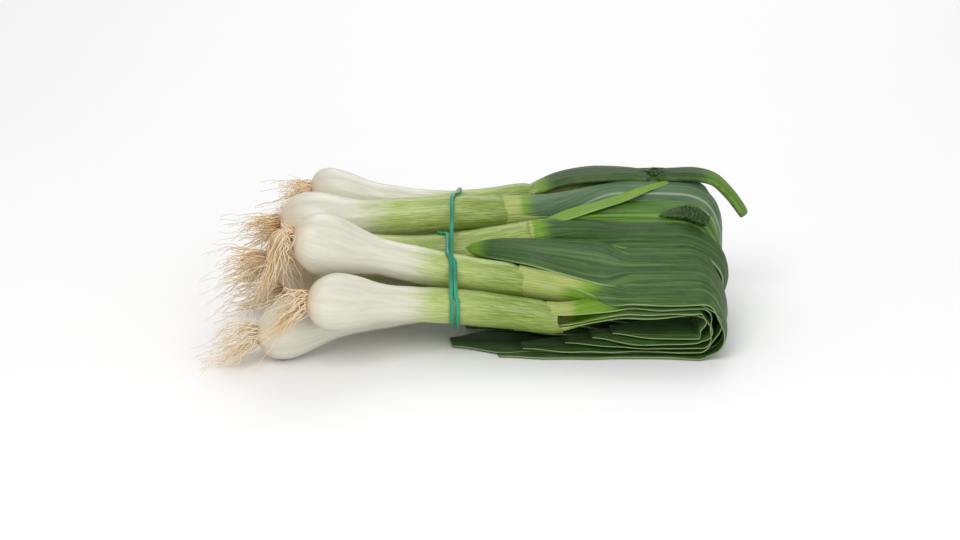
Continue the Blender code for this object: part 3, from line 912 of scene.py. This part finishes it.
BAND_STEPS = 120  # in each turn
BAND_WIDTH = 2.6
BAND_THICKNESS = 1.2
BAND_GAP = 0.4  # between its two strands
BAND_CLEARANCE = BAND_THICKNESS / 2 + 0.4  # from the shanks to the band's middle
STRETCHED_HALF = 0.4  # half its width over BAND_WIDTH, as it narrows when stretched
OUTSIDE_SECOND_TURN = (2, 3)  # places in ONIONS
BAND_SECTION = ((1, 0.4), (0.8, 0.9), (0.3, 1), (-0.3, 1), (-0.8, 0.9), (-1, 0.4),
                (-1, -0.4), (-0.8, -0.9), (-0.3, -1), (0.3, -1), (0.8, -0.9), (1, -0.4))


def band_offset(turns):
    """Where along the bunch the band runs, after so many turns from its front."""
    side = (BAND_WIDTH + BAND_GAP) / 2
    path = (
        (0, side), (0.5, side), (0.72, -9), (0.77, -4), (0.9, -side),
        (1.5, -side), (1.7, 2), (1.75, -1), (1.81, -2), (1.9, side), (2, side),
    )
    for (t, x), (t_next, x_next) in pairwise(path):
        if turns <= t_next:
            return x + (x_next - x) * smooth((turns - t) / (t_next - t))
    return side


def band_rings():
    """Sections of one band, wound twice; its first turn passes under the outside pair."""
    inner = [onion for i, onion in enumerate(ONIONS) if i not in OUTSIDE_SECOND_TURN]
    line, outs = [], []
    for i in range(2 * BAND_STEPS):
        turns = i / BAND_STEPS
        turn = math.pi * (1 + 2 * turns)
        out, x = np.array((0, math.cos(turn), math.sin(turn))), band_offset(turns)
        best = None
        for onion in inner if turns < 1 else ONIONS:
            outside = axis_point(onion, x) + out * (bulb_radius(onion, x) + BAND_CLEARANCE)
            if best is None or outside @ out > best @ out:
                best = outside
        line.append(best)
        outs.append(out)
    rings = []
    for i, (centre, out) in enumerate(zip(line, outs)):
        along = unit(line[(i + 1) % len(line)] - line[i - 1])
        side = unit(np.cross(out, along)) * BAND_WIDTH * STRETCHED_HALF
        up = unit(np.cross(along, side)) * BAND_THICKNESS / 2
        rings.append([centre + side * a + up * b for a, b in BAND_SECTION])
    return np.array(rings)


def make_band(name):
    """The band's rings, joined into a closed loop."""
    rings = band_rings()
    count, sides = rings.shape[:2]
    faces = []
    for r in range(count):
        near, far = r * sides, (r + 1) % count * sides
        for s in range(sides):
            after = (s + 1) % sides
            faces.append((near + s, near + after, far + after, far + s))
    mesh = bpy.data.meshes.new(name)
    mesh.from_pydata(((rings.reshape(-1, 3) + LAYOUT_TO_FRAME) * MM).tolist(), [], faces)
    face_outward(mesh)
    add_piece(mesh, RUBBER, "elastic_band")


# ------------------------------------------------------------------------------ studio

# Lengths in the studio are metres.
FLOOR_HALF = 6
LENS, SENSOR = 90, 36  # millimetres
ELEVATION = math.radians(20.3)
DISTANCE = 1.27
AIM = (0.0128, 0, 0.0295)  # from the layout's zero
LIGHT_AIM = (0, 0, 0.03)
LIGHTS = (  # (name, place, width, watts)
    ("key", (-0.5, -0.9, 1.3), 1.0, 8.8),
    ("fill", (0.6, -1.1, 0.5), 1.2, 4.5),
    ("back", (0.1, 1.1, 1.0), 1.0, 5),
)
SKY_STRENGTH = 0.6


def make_floor():
    corners = [(x * FLOOR_HALF, y * FLOOR_HALF, 0) for x, y in ((-1, -1), (1, -1), (1, 1), (-1, 1))]
    mesh = bpy.data.meshes.new("floor")
    mesh.from_pydata(corners, [], [(0, 1, 2, 3)])
    floor = bpy.data.objects.new("floor", mesh)
    bpy.context.scene.collection.objects.link(floor)
    n = Nodes("pale floor")
    place = n.put("ShaderNodeTexCoord", output="Object")
    colour = n.mix(n.noise(place, 3.0), (0.95, 0.95, 0.95, 1), (0.97, 0.97, 0.97, 1))
    floor.data.materials.append(n.finish(colour, 0.6))


def make_light(name, place, size, watts):
    data = bpy.data.lights.new(name, "AREA")
    data.shape, data.size, data.energy = "DISK", size, watts
    light = bpy.data.objects.new(name, data)
    light.location = place
    light.rotation_euler = (Vector(LIGHT_AIM) - Vector(place)).to_track_quat("-Z", "Y").to_euler()
    bpy.context.scene.collection.objects.link(light)


def make_camera():
    aim = Vector(LAYOUT_TO_FRAME * MM) + Vector(AIM)
    data = bpy.data.cameras.new("camera")
    data.lens, data.sensor_width = LENS, SENSOR
    camera = bpy.data.objects.new("camera", data)
    camera.location = aim + Vector((0, -math.cos(ELEVATION), math.sin(ELEVATION))) * DISTANCE
    camera.rotation_euler = (aim - camera.location).to_track_quat("-Z", "Y").to_euler()
    bpy.context.scene.collection.objects.link(camera)
    bpy.context.scene.camera = camera


def make_studio():
    make_floor()
    for light in LIGHTS:
        make_light(*light)
    world = bpy.data.worlds.new("studio")
    bpy.context.scene.world = world
    world.use_nodes = True
    sky = world.node_tree.nodes["Background"]
    sky.inputs["Color"].default_value = (1, 1, 1, 1)
    sky.inputs["Strength"].default_value = SKY_STRENGTH
    bpy.context.scene.view_settings.view_transform = "Standard"
    make_camera()


# ----------------------------------------------------------------------------- assembly

SKIN = shank_finish()
FIBRE = root_finish()
RUBBER = band_finish()
DARK_LEAF = leaf_finish(
    "dark leaf", shade=rgb(32, 62, 20), dark=rgb(38, 70, 22), mid=rgb(68, 108, 38),
    ridge=rgb(104, 140, 70), young=rgb(92, 134, 34), base=rgb(146, 162, 76))
BLOOM_LEAF = leaf_finish(
    "bloomed leaf", shade=rgb(64, 94, 70), dark=rgb(70, 100, 66), mid=rgb(114, 142, 102),
    ridge=rgb(186, 200, 174), young=rgb(96, 134, 50), base=rgb(150, 166, 84))
BRIGHT_LEAF = leaf_finish(
    "bright leaf", shade=rgb(56, 106, 20), dark=rgb(54, 98, 18), mid=rgb(88, 136, 32),
    ridge=rgb(128, 166, 66), young=rgb(100, 144, 28), base=rgb(150, 166, 76))
WILTED_LEAF = leaf_finish(
    "wilted leaf", shade=rgb(30, 54, 16), dark=rgb(30, 58, 12), mid=rgb(54, 92, 20),
    ridge=rgb(98, 124, 84), young=rgb(84, 128, 26), base=rgb(120, 140, 60), rim=0.1)
STRANDS = strand_nodes(FIBRE)

PLAIN = Style(finish=DARK_LEAF, widen=1.0, shingle=0.0, pale_for=14, young_for=40, plump=1.0,
              ridges=4, opens=0, wrap=62, crown=0.8, slide=0, over=0, turned=None)
TOP = PLAIN._replace(widen=1.16, shingle=0.5, pale_for=6, young_for=26, ridges=5, wrap=80, crown=1.8)
STYLES = {
    "onion_1_leaf_1": TOP._replace(pale_for=30, young_for=20, ridges=4, opens=62, wrap=118),
    "onion_1_leaf_2": PLAIN._replace(pale_for=26, opens=58, wrap=118),
    "onion_3_leaf_1": TOP._replace(finish=BLOOM_LEAF, pale_for=10, young_for=10,
                                   shingle=0.9, slide=9, over=1.2),
    "onion_3_leaf_2": TOP._replace(finish=BLOOM_LEAF, pale_for=10, young_for=9, widen=1.5,
                                   shingle=1.2, ridges=3, slide=12, over=2.4),
    "onion_3_leaf_3": TOP._replace(finish=BRIGHT_LEAF, pale_for=18, wrap=100),
    "onion_4_leaf_1": TOP._replace(finish=BLOOM_LEAF, pale_for=30, young_for=16),
    "onion_5_leaf_1": TOP._replace(finish=BRIGHT_LEAF, widen=1.5, pale_for=2, young_for=40,
                                   slide=5, over=0.8, turned=35),
    "onion_5_leaf_2": TOP._replace(widen=1.5, pale_for=2, young_for=14,
                                   shingle=1.2, wrap=88, slide=1, over=1.4, turned=-40),
}
BROAD = TOP._replace(widen=1.0, pale_for=1, young_for=14, ridges=7, opens=76, crown=2.4)
NARROW = PLAIN._replace(finish=BRIGHT_LEAF, pale_for=2, young_for=400, ridges=2)
DROOPING = PLAIN._replace(finish=WILTED_LEAF, widen=1.15, pale_for=12, young_for=12, plump=1.2)
CRUMPLED = PLAIN._replace(finish=WILTED_LEAF, pale_for=0.1, young_for=0.2, ridges=6)

for number, onion in enumerate(ONIONS, 1):
    make_bulb(number, onion)
    make_roots(number, onion)
leaves_made = [0] * len(ONIONS)
for seed, leaf in enumerate(LEAVES, 1):
    leaves_made[leaf.onion] += 1
    node = f"onion_{leaf.onion + 1}_leaf_{leaves_made[leaf.onion]}"
    style = STYLES.get(node, TOP if leaf.layer == 0 else PLAIN)
    make_leaf(leaf, node.replace("onion", "blade"), node, style, seed)
make_broad_leaf(BROAD_LEAF, "broad_blade", "onion_5_leaf_3", BROAD, 31)
make_free_leaf(STRIP, "narrow_blade", "onion_5_leaf_4", NARROW, 32)
make_free_leaf(DROOPING_LEAF, "drooping_blade", "onion_4_leaf_4", DROOPING, 33,
               Crumple(x=106, reach=6, depth=1.6), fade=0.55)
make_free_leaf(CRUMPLED_END, "crumpled_end", None, CRUMPLED, 37, Crumple(x=124, reach=9, depth=1.1))
make_band("elastic_tie")
make_studio()
